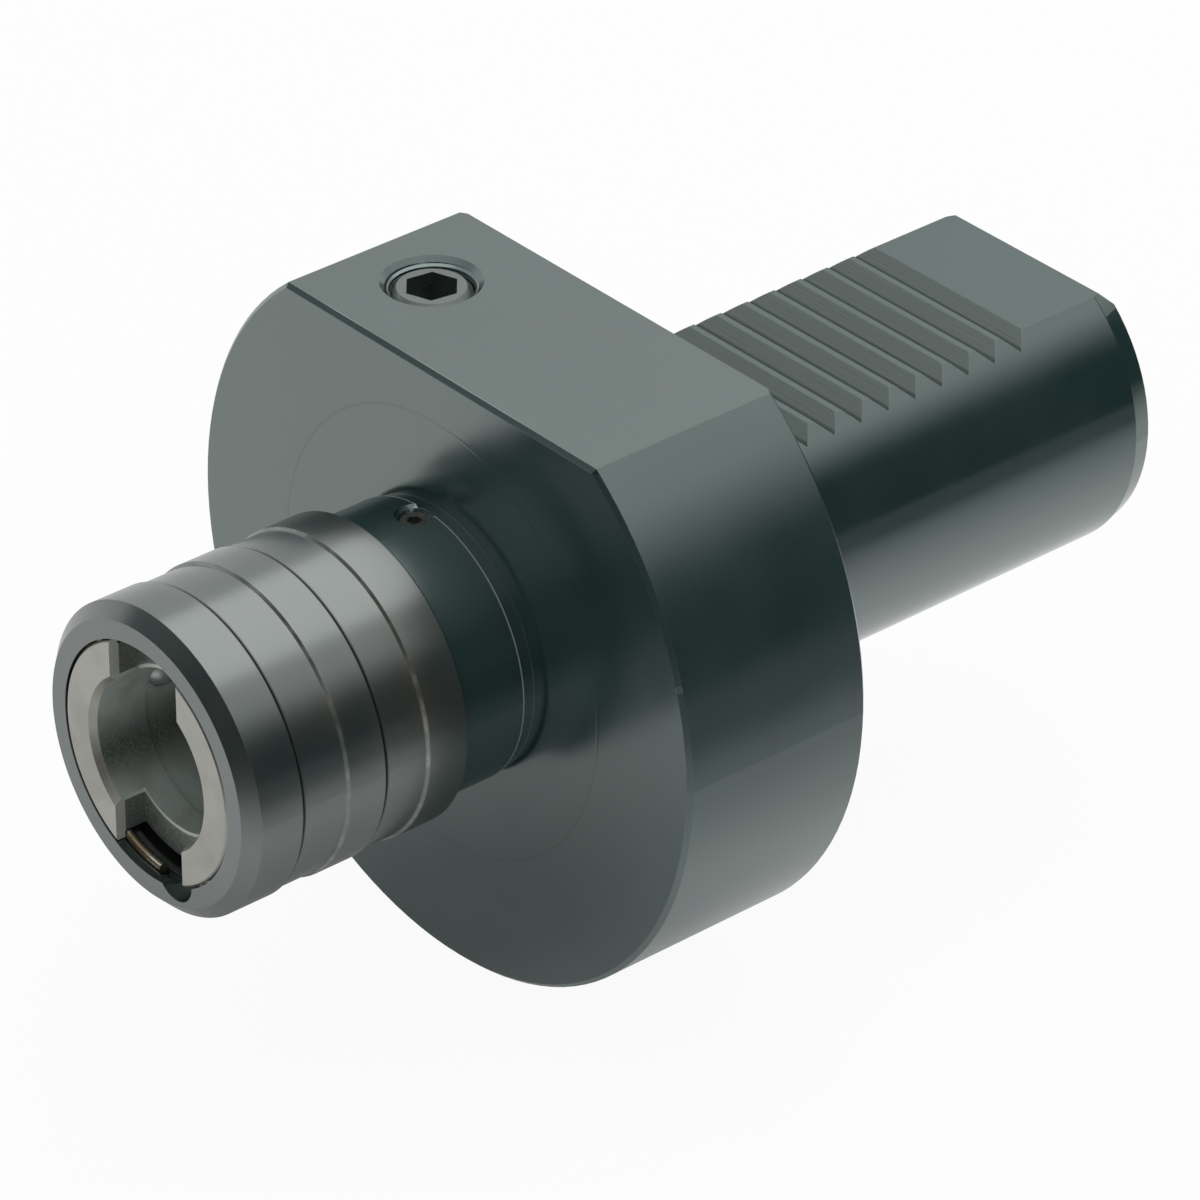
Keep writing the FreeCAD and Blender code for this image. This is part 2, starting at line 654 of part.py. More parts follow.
# Locking sleeve: three gripping rings outside; lip, snap groove, release recess and cone inside.
def make_locking_sleeve():
    body = new_body("locking_sleeve", NOSE_FACE)
    outer = "sleeve_dia / 2"
    waist = "sleeve_waist_dia / 2"
    middle_start = "front_ring_width + front_waist_width + " + WAIST_RAMP
    middle_end = middle_start + " + middle_ring_width"
    rear_start = middle_end + " + rear_waist_width"
    snap_wall = "snap_ring_dia / 2 + snap_ring_wire / 2 + snap_ring_slack"
    turned(body, "turned_form", [
        ("sleeve_front_dia / 2", "0"),
        (outer, "sleeve_front_chamfer"),
        (outer, "front_ring_width"),
        (waist, "front_ring_width"),
        (waist, "front_ring_width + front_waist_width"),
        (outer, middle_start),
        (outer, middle_end),
        (waist, middle_end),
        (waist, rear_start),
        (outer, rear_start + " + " + WAIST_RAMP),
        (outer, "sleeve_length - sleeve_edge_break"),
        (outer + " - sleeve_edge_break", "sleeve_length"),
        (SKIRT_RADIUS, "sleeve_length"),
        (SKIRT_RADIUS, "skirt_start"),
        (LAND_RADIUS, "skirt_start"),
        (LAND_RADIUS, "lock_ball_place + (%s - %s) / cone_slope" % (CONE_AT_BALL, LAND_RADIUS)),
        (RELEASE_RADIUS,
         "lock_ball_place + (%s - %s) / cone_slope" % (CONE_AT_BALL, RELEASE_RADIUS)),
        (RELEASE_RADIUS, SNAP_END + " + sleeve_rib_width"),
        (LAND_RADIUS, SNAP_END + " + sleeve_rib_width"),
        (LAND_RADIUS, SNAP_END),
        (snap_wall, SNAP_END),
        (snap_wall, "sleeve_lip_width"),
        ("sleeve_hole_dia / 2", "sleeve_lip_width"),
        ("sleeve_hole_dia / 2", "0")])
    notch = new_sketch(body, "notch_outline", "XZ_Plane")
    reach = "(notch_reach - notch_dia / 2)"
    draw_circle(notch, reach + " * cos(notch_angle)", "-%s * sin(notch_angle)" % reach, "notch_dia")
    cut_down(body, "removal_notch", notch, SNAP_END)
    return body


# Open ring of round wire in the sleeve's front groove, stopped by the spindle's front plate.
# One end is at the bottom, beside the notch, and the gap opens from there towards it.
def make_snap_ring():
    ring = make_ring("snap_ring", "snap_ring_dia / 2", "snap_ring_wire / 2",
                     ("0", NOSE_FACE + " + %s + snap_ring_wire / 2" % SNAP_START, "0"),
                     Rotation(Vector(0, 0, 1), 90))
    tie(ring, "Angle3", "360 - snap_ring_gap")
    return ring


def make_spring(label, start, length, wire, diameter, turns):
    """A coil spring about Y between two places, its wire a hexagon to keep the coils light."""
    helix = doc.addObject("Part::Helix", label + "_path")
    tie(helix, "Radius", "%s / 2" % diameter)
    tie(helix, "Height", "%s - %s" % (length, wire))
    tie(helix, "Pitch", "(%s - %s) / %s" % (length, wire, turns))
    helix.Placement = Placement(Vector(), Rotation(Vector(1, 0, 0), -90))
    tie(helix, "Placement.Base.y", "%s + %s / 2" % (start, wire))
    section = doc.addObject("Part::RegularPolygon", label + "_section")
    tie(section, "Circumradius", "%s / 2" % wire)
    tie(section, "Placement.Base.x", "%s / 2" % diameter)
    tie(section, "Placement.Base.y", "%s + %s / 2" % (start, wire))
    spring = doc.addObject("Part::Sweep", label)
    spring.Label = label
    spring.Sections = [section]
    spring.Spine = (helix, ["Edge1"])
    spring.Solid = True
    spring.Frenet = True
    pieces.append(spring)
    return spring


# Rod screwed into the spindle; its shoulder carries the spring disc.
def make_spindle_rod():
    body = new_body("spindle_rod")
    turned(body, "rod_form", [
        ("0", "%s + %s - rod_grip" % (NOSE_FACE, SPINDLE_LENGTH)),
        ("rod_dia / 2", "%s + %s - rod_grip" % (NOSE_FACE, SPINDLE_LENGTH)),
        ("rod_dia / 2", DISC_FRONT),
        ("rod_thread_dia / 2", DISC_FRONT),
        ("rod_thread_dia / 2", REAR_SPRING_START + " + nut_width + rod_end_spare"),
        ("0", REAR_SPRING_START + " + nut_width + rod_end_spare")])
    return body


def make_washer(label, start, width, outer, inner):
    """A flat ring about Y."""
    body = new_body(label)
    turned(body, label + "_form", [
        (inner, start), (outer, start),
        (outer, "%s + %s" % (start, width)), (inner, "%s + %s" % (start, width))])
    return body


# Hexagon nut that holds the spring disc on the rod.
def make_disc_nut():
    body = new_body("disc_nut")
    sketch = new_sketch(body, "nut_outline", "XZ_Plane", ("0", "0", "-" + REAR_SPRING_START))
    draw_hexagon(sketch, "nut_flats")
    draw_circle(sketch, "0", "0", "rod_thread_dia + 2 * rod_fit")
    pad = body.newObject("PartDesign::Pad", "nut_form")
    pad.Profile = sketch
    tie(pad, "Length", "nut_width")
    pad.Reversed = True
    body.Tip = pad
    return body


# Plug that closes the end of the shank and carries the rear spring.
def make_end_plug():
    body = new_body("end_plug")
    radius = "chamber_dia / 2 - end_plug_clearance"
    rear = END_PLUG_FRONT + " + end_plug_width"
    turned(body, "plug_form", [
        ("0", END_PLUG_FRONT), (radius, END_PLUG_FRONT), (radius, rear), ("0", rear)])
    socket = new_sketch(body, "socket_outline", "XZ_Plane", ("0", "0", "-(%s)" % rear))
    draw_hexagon(socket, "end_plug_socket_flats")
    cut_down(body, "socket", socket, "end_plug_socket_depth", backwards=True)
    return body


# Open ring that snaps into the groove behind the end plug.
def make_end_retaining_ring():
    outer = "chamber_dia / 2 + end_ring_depth"
    body = make_washer("end_retaining_ring", END_RING_FRONT, "end_ring_width", outer,
                       "end_ring_inner_dia / 2")
    gap = new_sketch(body, "gap_outline", "XY_Plane")
    draw_outline(gap, [
        ("-end_ring_gap / 2", END_RING_FRONT + " - end_ring_width"),
        ("end_ring_gap / 2", END_RING_FRONT + " - end_ring_width"),
        ("end_ring_gap / 2", END_RING_FRONT + " + 2 * end_ring_width"),
        ("-end_ring_gap / 2", END_RING_FRONT + " + 2 * end_ring_width")])
    cut_down(body, "gap", gap, "chamber_dia", backwards=True)
    return body


make_holder_body()
make_coolant_plug()
make_neck_screw("neck_screw_top", 1)
make_neck_screw("neck_screw_bottom", -1)
make_shank_seal()
make_coolant_seal()
make_drive_balls("drive_balls_top", 1)
make_drive_balls("drive_balls_bottom", -1)
make_spindle()
for ball_number in (1, 2, 3):
    make_lock_ball(ball_number)
make_locking_sleeve()
make_snap_ring()
make_spring("sleeve_spring", NOSE_FACE + " + skirt_start", "(collar_place - skirt_start)",
            "sleeve_spring_wire", "sleeve_spring_dia", "sleeve_spring_turns")
make_spindle_rod()
make_washer("spring_disc", DISC_FRONT, "spring_disc_width", "spring_disc_dia / 2",
            "rod_thread_dia / 2 + rod_fit")
make_disc_nut()
make_washer("front_spring_washer", WEB_REAR, "washer_width", "washer_dia / 2",
            "rod_dia / 2 + rod_clearance")
make_spring("front_spring", FRONT_SPRING_START, SPRING_LENGTH, "spring_wire", "spring_dia",
            "spring_turns")
make_spring("rear_spring", REAR_SPRING_START, SPRING_LENGTH, "spring_wire", "spring_dia",
            "spring_turns")
make_washer("rear_spring_washer", REAR_WASHER, "washer_width", "washer_dia / 2",
            "rod_dia / 2 + rod_clearance")
make_end_plug()
make_end_retaining_ring()

doc.recompute()

for item in doc.Objects:
    if "Invalid" in item.State or "Error" in item.State:
        raise RuntimeError("%s did not build: %s" % (item.Label, item.State))
for piece in pieces:
    if piece.Shape.isNull() or not piece.Shape.isValid():
        raise RuntimeError("%s has no sound shape" % piece.Label)

os.makedirs("parts", exist_ok=True)
for piece in pieces:
    piece.Shape.exportStep("parts/%s.step" % piece.Label)
    print("%-22s %10.1f mm3, solids %d" % (piece.Label, piece.Shape.Volume, len(piece.Shape.Solids)))
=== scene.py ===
import math

import bpy
import numpy as np
from mathutils import Matrix, Vector


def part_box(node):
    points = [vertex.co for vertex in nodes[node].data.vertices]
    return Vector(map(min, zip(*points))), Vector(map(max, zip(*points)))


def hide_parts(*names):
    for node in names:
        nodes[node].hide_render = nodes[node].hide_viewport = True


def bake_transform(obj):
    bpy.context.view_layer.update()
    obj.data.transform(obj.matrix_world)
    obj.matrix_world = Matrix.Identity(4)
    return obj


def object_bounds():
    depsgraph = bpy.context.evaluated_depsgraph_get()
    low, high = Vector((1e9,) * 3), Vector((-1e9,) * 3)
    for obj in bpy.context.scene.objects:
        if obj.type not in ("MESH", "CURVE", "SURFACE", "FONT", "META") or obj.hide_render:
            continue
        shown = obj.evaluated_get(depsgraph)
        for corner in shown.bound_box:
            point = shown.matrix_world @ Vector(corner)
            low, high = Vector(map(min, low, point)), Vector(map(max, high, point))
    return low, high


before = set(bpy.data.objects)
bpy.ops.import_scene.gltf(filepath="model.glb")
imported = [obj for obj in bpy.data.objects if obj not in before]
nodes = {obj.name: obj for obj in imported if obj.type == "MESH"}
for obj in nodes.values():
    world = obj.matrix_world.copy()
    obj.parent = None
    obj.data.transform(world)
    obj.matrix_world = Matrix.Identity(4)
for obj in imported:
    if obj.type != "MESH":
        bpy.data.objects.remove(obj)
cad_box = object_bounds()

# Quick-change tapping chuck: a blackened steel holder with a toothed shank, and a sprung nose
# with a locking sleeve. Metres; Y runs from the nose to the shank, Z is up, and X is to the right
# as seen from the nose.

# Holder
# One bar of tool steel, turned, milled and then blackened in hot salt: shank with its rack, flange
# with its flat, and neck. The oxide is thin, so the cutter's marks still show through it.
FLANGE_FRONT = -0.025
FLANGE_FLAT_HEIGHT = 0.0325
CHAMFER_MIDDLE = 0.00026
CHAMFER_HALF = 0.00022
FLAT_EDGE_BACK = 0.00052
SHANK_RADIUS = 0.020
NECK_RADIUS = 0.0165
NECK_FOOT = -0.0267
RACK_START = 0.0060
RACK_LOWEST = 0.0140
CREST_HEIGHT = 0.0158
TOOTH_PITCH = 0.004
FIRST_ROOT = 0.0077
END_FLAT_START = 0.0495
END_ARC_CENTRE = (-0.006, 0.036)
PORT_PLACE = (-0.016, -0.0125)
PORT_MARK_RADIUS = 0.0093
PORT_THREAD_REACH = 0.00515
PORT_THREAD_FLOOR = 0.030
NECK_HOLE_PLACE = (0.0, -0.0282)
NECK_THREAD_REACH = 0.0020
NECK_THREAD_FLOOR = 0.0150
THREAD_PITCH = 0.0005
MARK_CIRCLE_RADIUS = 0.0265
NICK_PLACE = (0.03947, -0.0248, 0.01195)
HAIR = 0.00005
FLAT_HAIR = 0.00003
EDGE_LEAN = (0.99, 0.88)
OXIDE_INDEX = 2.32
OXIDE_TINT = (0.87, 1.0, 0.955, 1)
OXIDE_DARK = (0.005, 0.026, 0.027, 1)
OXIDE_LIGHT = (0.011, 0.034, 0.035, 1)
RACK_FLANK = (0.052, 0.064, 0.060, 1)
FLAT_SPECK = (0.022, 0.030, 0.028, 1)
EDGE_STEEL = (0.30, 0.32, 0.31, 1)
NECK_GLINT = (0.50, 0.53, 0.51, 1)


def add_node(tree, kind, inputs=None, **settings):
    """A shader node with its settings; each input is a plain value or another node's output."""
    added = tree.nodes.new("ShaderNode" + kind)
    for name, setting in settings.items():
        setattr(added, name, setting)
    for name, given in (inputs or {}).items():
        if isinstance(given, bpy.types.NodeSocket):
            tree.links.new(given, added.inputs[name])
        else:
            added.inputs[name].default_value = given
    return added


def new_material(name, roughness=0.5, metallic=0.0, index=1.5, tint=(1, 1, 1, 1)):
    """A node material with one Principled shader; returns the material, its tree and the shader."""
    material = bpy.data.materials.new(name)
    material.use_nodes = True
    tree = material.node_tree
    tree.nodes.clear()
    shader = add_node(tree, "BsdfPrincipled", {
        "Roughness": roughness, "Metallic": metallic, "IOR": index, "Specular Tint": tint})
    add_node(tree, "OutputMaterial", {"Surface": shader.outputs["BSDF"]})
    return material, tree, shader


def maths(tree, operation, first, second=0.0, third=0.0):
    """One sum on plain values or outputs; returns its output."""
    return add_node(tree, "Math", {0: first, 1: second, 2: third}, operation=operation).outputs[0]


def chain(tree, operation, first, *others):
    """One operation carried on through several values, such as their product."""
    for other in others:
        first = maths(tree, operation, first, other)
    return first


def blend_colours(tree, share, first, second):
    """The first colour where the share is 0, the second where it is 1."""
    return add_node(tree, "Mix", {0: share, 6: first, 7: second}, data_type="RGBA").outputs[2]


def blend_values(tree, share, first, second):
    """The first value where the share is 0, the second where it is 1."""
    return add_node(tree, "Mix", {0: share, 2: first, 3: second}).outputs[0]


def rescale(tree, value, low, high, to_low=0.0, to_high=1.0, curve="LINEAR"):
    """A value carried from one range to another and held at its ends."""
    return add_node(tree, "MapRange", {
        "Value": value, "From Min": low, "From Max": high, "To Min": to_low, "To Max": to_high},
        interpolation_type=curve).outputs[0]


def distance(tree, first, second):
    """How far two points lie apart."""
    return add_node(tree, "VectorMath", {0: first, 1: second}, operation="DISTANCE").outputs["Value"]


def places(tree, *wanted):
    """Where the shaded point lies on the object, as asked: its point, x, y or z, the part of it
    across the axis, or its radius from the axis."""
    point = add_node(tree, "TexCoord").outputs["Object"]
    parts = add_node(tree, "SeparateXYZ", {0: point}).outputs
    across = add_node(tree, "CombineXYZ", {"X": parts["X"], "Z": parts["Z"]}).outputs[0]
    radius = add_node(tree, "VectorMath", {0: across}, operation="LENGTH").outputs["Value"]
    found = {"point": point, "x": parts["X"], "y": parts["Y"], "z": parts["Z"],
             "across": across, "radius": radius}
    return [found[name] for name in wanted]


def new_group(name, inputs, output):
    """An empty group with number inputs and one output; returns its tree, what it is given and
    the socket of its result."""
    tree = bpy.data.node_groups.new(name, "ShaderNodeTree")
    for socket, default in inputs.items():
        made = tree.interface.new_socket(socket, in_out="INPUT", socket_type="NodeSocketFloat")
        made.default_value = default
    tree.interface.new_socket(output, in_out="OUTPUT", socket_type="NodeSocketFloat")
    given = tree.nodes.new("NodeGroupInput").outputs
    result = tree.nodes.new("NodeGroupOutput").inputs[output]
    return tree, given, result


def place_group(tree, group, inputs):
    """A node group placed in a material with its own values; returns its output."""
    placed = tree.nodes.new("ShaderNodeGroup")
    placed.node_tree = group
    for name, given in inputs.items():
        if isinstance(given, bpy.types.NodeSocket):
            tree.links.new(given, placed.inputs[name])
        else:
            placed.inputs[name].default_value = given
    return placed.outputs[0]


def dress(material, *names):
    """Give the CAD nodes' objects one material in all their slots."""
    for name in names:
        slots = nodes[name].data.materials
        slots.clear()
        slots.append(material)


# Fine rings about Y, as a lathe tool leaves them: noise that changes fast along a line which runs
# both outwards and along the axis, and slowly round the axis.
RING_SLANT = 0.62
lathe_marks, given, result = new_group("lathe marks", {"Rings per metre": 6000, "Sweep": 2.0}, "Height")
y, across, radius = places(lathe_marks, "y", "across", "radius")
way = add_node(lathe_marks, "VectorMath", {0: across}, operation="NORMALIZE").outputs["Vector"]
way = add_node(lathe_marks, "SeparateXYZ", {0: way}).outputs
along = maths(lathe_marks, "MULTIPLY_ADD", radius, RING_SLANT, y)
vector = add_node(lathe_marks, "CombineXYZ", {
    "X": maths(lathe_marks, "MULTIPLY", way["X"], given["Sweep"]),
    "Y": maths(lathe_marks, "MULTIPLY", along, given["Rings per metre"]),
    "Z": maths(lathe_marks, "MULTIPLY", way["Z"], given["Sweep"])}).outputs[0]
noise = add_node(lathe_marks, "TexNoise", {"Vector": vector, "Scale": 1.0, "Detail": 2.0, "Roughness": 0.6})
lathe_marks.links.new(noise.outputs[0], result)

# Straight scratches along X, as a side mill or a grinding wheel leaves them.
LINE_SLANT = 0.7
mill_marks, given, result = new_group(
    "mill marks", {"Lines per metre": 5000, "Length share": 0.02}, "Height")
x, y, z = places(mill_marks, "x", "y", "z")
slow = maths(mill_marks, "MULTIPLY", given["Lines per metre"], given["Length share"])
along = maths(mill_marks, "MULTIPLY_ADD", z, LINE_SLANT, y)
vector = add_node(mill_marks, "CombineXYZ", {
    "X": maths(mill_marks, "MULTIPLY", x, slow),
    "Y": maths(mill_marks, "MULTIPLY", along, given["Lines per metre"])}).outputs[0]
noise = add_node(mill_marks, "TexNoise", {"Vector": vector, "Scale": 1.0, "Detail": 2.0, "Roughness": 0.65})
mill_marks.links.new(noise.outputs[0], result)

# Cloudy patches of the finish, from 0 to 1.
patches, given, result = new_group("patches", {"Patches per metre": 60, "Low": 0.4, "High": 0.65}, "Share")
(point,) = places(patches, "point")
noise = add_node(patches, "TexNoise", {
    "Vector": point, "Scale": given["Patches per metre"], "Detail": 2.0, "Roughness": 0.65})
share = rescale(patches, noise.outputs[0], given["Low"], given["High"], curve="SMOOTHSTEP")
patches.links.new(share, result)

# A soft line where a value crosses its centre, 1 in the middle and 0 past its half width.
soft_line, given, result = new_group("soft line", {"Value": 0, "Centre": 0, "Half width": 0.0002}, "Share")
off = maths(soft_line, "ABSOLUTE", maths(soft_line, "SUBTRACT", given["Value"], given["Centre"]))
share = rescale(soft_line, off, 0.0, given["Half width"], 1.0, 0.0, "SMOOTHSTEP")
soft_line.links.new(share, result)

# Arcs round a point seen from above, as a face mill leaves them on a flat.
ARC_DRIFT = 40.0
mill_arcs, given, result = new_group(
    "mill arcs", {"Centre X": 0, "Centre Y": 0, "Arcs per metre": 1500}, "Height")
x, y = places(mill_arcs, "x", "y")
offset = add_node(mill_arcs, "CombineXYZ", {
    "X": maths(mill_arcs, "SUBTRACT", x, given["Centre X"]),
    "Y": maths(mill_arcs, "SUBTRACT", y, given["Centre Y"])}).outputs[0]
reach = add_node(mill_arcs, "VectorMath", {0: offset}, operation="LENGTH").outputs["Value"]
vector = add_node(mill_arcs, "CombineXYZ", {
    "X": maths(mill_arcs, "MULTIPLY", reach, given["Arcs per metre"]),
    "Y": maths(mill_arcs, "MULTIPLY", x, ARC_DRIFT)}).outputs[0]
noise = add_node(mill_arcs, "TexNoise", {"Vector": vector, "Scale": 1.0, "Detail": 2.0, "Roughness": 0.5})
mill_arcs.links.new(noise.outputs[0], result)

# A screw thread round a hole along Z: a ramp that rises and falls once a pitch and once round the
# hole, and is 0 past the hole's reach or nearer to the middle of the holder than its floor.
hole_thread, given, result = new_group(
    "hole thread", {"Hole X": 0, "Hole Y": 0, "Reach": 0.005, "Floor": 0.03, "Pitch": 0.0005}, "Height")
x, y, z = places(hole_thread, "x", "y", "z")
offset_x = maths(hole_thread, "SUBTRACT", x, given["Hole X"])
offset_y = maths(hole_thread, "SUBTRACT", y, given["Hole Y"])
round_hole = maths(hole_thread, "DIVIDE", maths(hole_thread, "ARCTAN2", offset_y, offset_x), 2 * math.pi)
climb = maths(hole_thread, "ADD", maths(hole_thread, "DIVIDE", z, given["Pitch"]), round_hole)
ridge = maths(hole_thread, "PINGPONG", climb, 0.5)
offset = add_node(hole_thread, "CombineXYZ", {"X": offset_x, "Y": offset_y}).outputs[0]
reach = add_node(hole_thread, "VectorMath", {0: offset}, operation="LENGTH").outputs["Value"]
in_reach = maths(hole_thread, "LESS_THAN", reach, given["Reach"])
past_floor = maths(hole_thread, "GREATER_THAN", maths(hole_thread, "ABSOLUTE", z), given["Floor"])
hole_thread.links.new(chain(hole_thread, "MULTIPLY", ridge, in_reach, past_floor), result)


def patchy(tree, per_metre, low, high):
    """Cloudy patches of a given count per metre, from 0 to 1."""
    return place_group(tree, patches, {"Patches per metre": per_metre, "Low": low, "High": high})


def line_at(tree, value, centre, half_width):
    """A soft line where a value crosses its centre."""
    return place_group(tree, soft_line, {"Value": value, "Centre": centre, "Half width": half_width})


def thread_at(tree, place, reach, floor):
    """The thread of a hole along Z at a place given by X and Y."""
    return place_group(tree, hole_thread, {
        "Hole X": place[0], "Hole Y": place[1], "Reach": reach, "Floor": floor, "Pitch": THREAD_PITCH})


def round_edges(tree, radius):
    """The normal rounded over edges."""
    return add_node(tree, "Bevel", {"Radius": radius}, samples=2).outputs["Normal"]


def edge_share(tree, rounded):
    """1 on an edge and 0 away from it, by how far the rounded normal leans from the plain one."""
    plain = add_node(tree, "NewGeometry").outputs["Normal"]
    facing = add_node(tree, "VectorMath", {0: rounded, 1: plain}, operation="DOT_PRODUCT").outputs["Value"]
    return rescale(tree, facing, *EDGE_LEAN)


def raise_surface(tree, shader, height, depth, normal):
    """Bump over a normal, where a height of 1 stands for the depth in metres."""
    bump = add_node(tree, "Bump", {"Strength": 1.0, "Distance": depth, "Height": height, "Normal": normal})
    tree.links.new(bump.outputs["Normal"], shader.inputs["Normal"])


holder_oxide, tree, shader = new_material("holder black oxide", index=OXIDE_INDEX, tint=OXIDE_TINT)
point, y, z, radius = places(tree, "point", "y", "z", "radius")

# Which face of the holder the point is on.
on_rack = chain(tree, "MULTIPLY",
                maths(tree, "GREATER_THAN", y, RACK_START),
                maths(tree, "GREATER_THAN", z, RACK_LOWEST),
                maths(tree, "LESS_THAN", radius, SHANK_RADIUS - HAIR))
on_crest = maths(tree, "MULTIPLY", on_rack, maths(tree, "GREATER_THAN", z, CREST_HEIGHT - HAIR))
on_flank = maths(tree, "SUBTRACT", on_rack, on_crest)
on_end_flat = maths(tree, "MULTIPLY", on_rack, maths(tree, "GREATER_THAN", y, END_FLAT_START))
on_shank = maths(tree, "MULTIPLY", maths(tree, "GREATER_THAN", y, 0.0),
                 maths(tree, "SUBTRACT", 1.0, on_rack))
on_flat = maths(tree, "GREATER_THAN", z, FLANGE_FLAT_HEIGHT - FLAT_HAIR)
on_face = maths(tree, "LESS_THAN", y, FLANGE_FRONT + 2 * HAIR)
on_chamfer = maths(tree, "MULTIPLY",
                   maths(tree, "COMPARE", y, FLANGE_FRONT + CHAMFER_MIDDLE, CHAMFER_HALF),
                   maths(tree, "COMPARE", z, FLANGE_FLAT_HEIGHT - CHAMFER_MIDDLE, CHAMFER_HALF))

# Clouds and grain of the oxide, and worn metal on the edges and in the nick of the flange's rim.
cloudy = patchy(tree, 45, 0.38, 0.66)
grain = patchy(tree, 1500, 0.35, 0.65)
RIM_ROUNDING = 0.0001
RACK_EXTRA_ROUNDING = 0.00018
rounded = round_edges(tree, maths(tree, "MULTIPLY_ADD", on_rack, RACK_EXTRA_ROUNDING, RIM_ROUNDING))
off_rack = maths(tree, "MULTIPLY_ADD", on_rack, -0.8, 1.0)
edge = chain(tree, "MULTIPLY", edge_share(tree, rounded),
             maths(tree, "MULTIPLY_ADD", grain, 0.5, 0.3), off_rack)
nick = rescale(tree, distance(tree, point, NICK_PLACE), 0.0002, 0.00045, 1.0, 0.0, "SMOOTHSTEP")
bare = maths(tree, "MAXIMUM", nick, edge)

# Fine lines: the turned circle on the face, the ring round the port, the roots of the teeth with
# painted shade, a painted highlight on the step at the neck's foot and one behind the flat's front edge.
mark_circle = maths(tree, "MULTIPLY", line_at(tree, radius, MARK_CIRCLE_RADIUS, 0.00022), on_face)
from_port = distance(tree, point, PORT_PLACE + (FLANGE_FLAT_HEIGHT,))
port_mark = chain(tree, "MULTIPLY", line_at(tree, from_port, PORT_MARK_RADIUS, 0.0003), on_flat, cloudy)
from_root = maths(tree, "PINGPONG", maths(tree, "SUBTRACT", y, FIRST_ROOT), TOOTH_PITCH / 2)
shaded_root = chain(tree, "MULTIPLY", rescale(tree, from_root, 0.0, 0.00035, 1.0, 0.0), on_rack,
             maths(tree, "LESS_THAN", z, CREST_HEIGHT - 0.0008))
neck_foot_highlight = maths(tree, "MULTIPLY", line_at(tree, y, NECK_FOOT, 0.00024),
                  maths(tree, "GREATER_THAN", radius, NECK_RADIUS - 0.0003))
flat_edge_highlight = chain(tree, "MULTIPLY", line_at(tree, y, FLANGE_FRONT + FLAT_EDGE_BACK, 0.00013),
                  on_flat, maths(tree, "MULTIPLY_ADD", cloudy, 0.5, 0.1))

colour = blend_colours(tree, maths(tree, "MAXIMUM", maths(tree, "SUBTRACT", cloudy, on_rack), 0.0),
                       OXIDE_DARK, OXIDE_LIGHT)
glint = maths(tree, "MAXIMUM", maths(tree, "MULTIPLY", neck_foot_highlight, 0.9), flat_edge_highlight)
for share, new_colour in (
        (maths(tree, "MULTIPLY", on_flank, 0.85), RACK_FLANK),
        (maths(tree, "MULTIPLY", mark_circle, 0.02), NECK_GLINT),
        (maths(tree, "MULTIPLY", grain, on_flat), FLAT_SPECK),
        (bare, EDGE_STEEL),
        (glint, NECK_GLINT)):
    colour = blend_colours(tree, share, colour, new_colour)
tree.links.new(colour, shader.inputs["Base Color"])

# A little metal under a dark colour dulls the oxide's gloss, where it is rubbed or the cut is rough;
# at the roots of the teeth and on the flat's front chamfer it is painted shade.
milled = place_group(tree, mill_marks, {"Lines per metre": 4500, "Length share": 0.012})
dulled_and_shaded = chain(tree, "MAXIMUM",
               maths(tree, "MULTIPLY", on_crest, 0.15), maths(tree, "MULTIPLY", shaded_root, 0.6),
               maths(tree, "MULTIPLY", mark_circle, 0.22), maths(tree, "MULTIPLY", on_flat, 0.09),
               maths(tree, "MULTIPLY", on_chamfer, 0.5))
dulled_and_shaded = maths(tree, "MULTIPLY_ADD", maths(tree, "MULTIPLY", milled, on_rack), 0.05, dulled_and_shaded)
tree.links.new(maths(tree, "MAXIMUM", bare, dulled_and_shaded), shader.inputs["Metallic"])

turned = place_group(tree, lathe_marks, {"Rings per metre": 5000, "Sweep": 1.5})
rough = 0.165
for share, added in ((cloudy, 0.05), (turned, 0.06), (on_shank, -0.07), (on_flat, 0.14), (on_rack, 0.24),
                     (shaded_root, 0.3)):
    rough = maths(tree, "MULTIPLY_ADD", share, added, rough)
tree.links.new(rough, shader.inputs["Roughness"])

# Tool marks and cuts, in steps of the oxide's bump depth.
MARK_DEPTH = 0.000002
MILLED_STEPS = 14.0
ARC_STEPS = 12.0
GRAIN_STEPS = 1.5
THREAD_STEPS = 130.0
arcs = place_group(tree, mill_arcs, {
    "Centre X": END_ARC_CENTRE[0], "Centre Y": END_ARC_CENTRE[1], "Arcs per metre": 1000})
height = blend_values(tree, on_rack, turned, maths(tree, "MULTIPLY", milled, MILLED_STEPS))
height = blend_values(tree, on_end_flat, height, maths(tree, "MULTIPLY", arcs, ARC_STEPS))
height = blend_values(tree, on_flat, height, maths(tree, "MULTIPLY", grain, GRAIN_STEPS))
for cut, steps in ((mark_circle, 6.0), (port_mark, 4.0), (shaded_root, 40.0)):
    height = maths(tree, "SUBTRACT", height, maths(tree, "MULTIPLY", cut, steps))
threads = maths(tree, "MAXIMUM",
                thread_at(tree, PORT_PLACE, PORT_THREAD_REACH, PORT_THREAD_FLOOR),
                thread_at(tree, NECK_HOLE_PLACE, NECK_THREAD_REACH, NECK_THREAD_FLOOR))
height = maths(tree, "MULTIPLY_ADD", threads, THREAD_STEPS, height)
raise_surface(tree, shader, height, MARK_DEPTH, rounded)
dress(holder_oxide, "holder_body")

